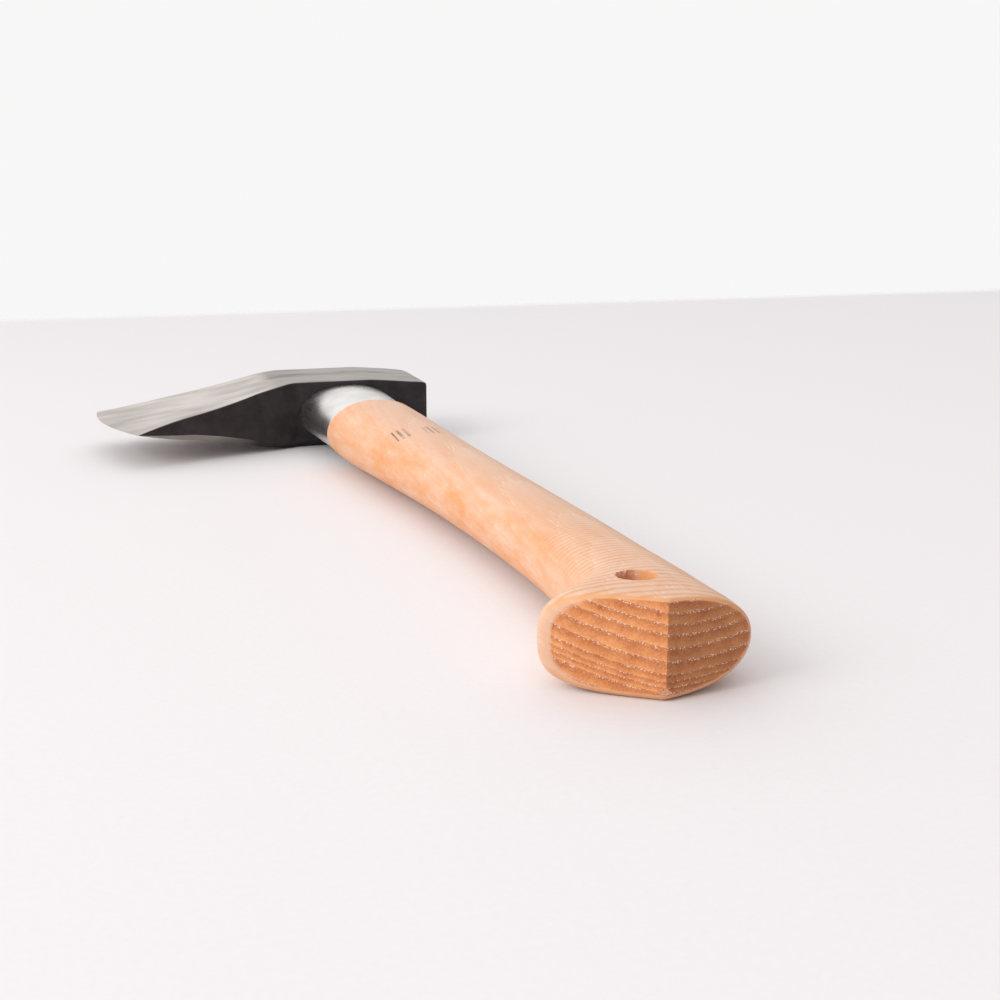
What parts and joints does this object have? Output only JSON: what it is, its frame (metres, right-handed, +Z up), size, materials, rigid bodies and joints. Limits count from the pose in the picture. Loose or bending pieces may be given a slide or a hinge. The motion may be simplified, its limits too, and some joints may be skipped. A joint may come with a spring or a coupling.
{
  "type": "hatchet",
  "caption": "Small forged hatchet with a bearded head, shaped wooden handle, steel neck guard and a lanyard hole in the knob.",
  "frame": {"origin": "middle of the tool's box, on the surface that it lies on", "axes": "+X along the handle from the butt to the head, +Y towards the cutting edge, +Z up through the thickness"},
  "size_m": [0.3648, 0.1392, 0.0281],
  "materials": {
    "head_steel": "forged, oil blackened in places and belt ground on the cheeks",
    "handle_wood": "oiled ring-porous hardwood with cutter ripples and open end grain",
    "guard_steel": "bright satin sheet steel",
    "wedge_wood": "sawn and oiled end grain",
    "wedge_steel": "hammered flat and ground"
  },
  "bodies": {
    "root": {"axe_head": "head_steel", "handle": "handle_wood", "collar_guard": "guard_steel", "wooden_wedge": "wedge_wood", "steel_wedge": "wedge_steel"}
  },
  "joints": []
}
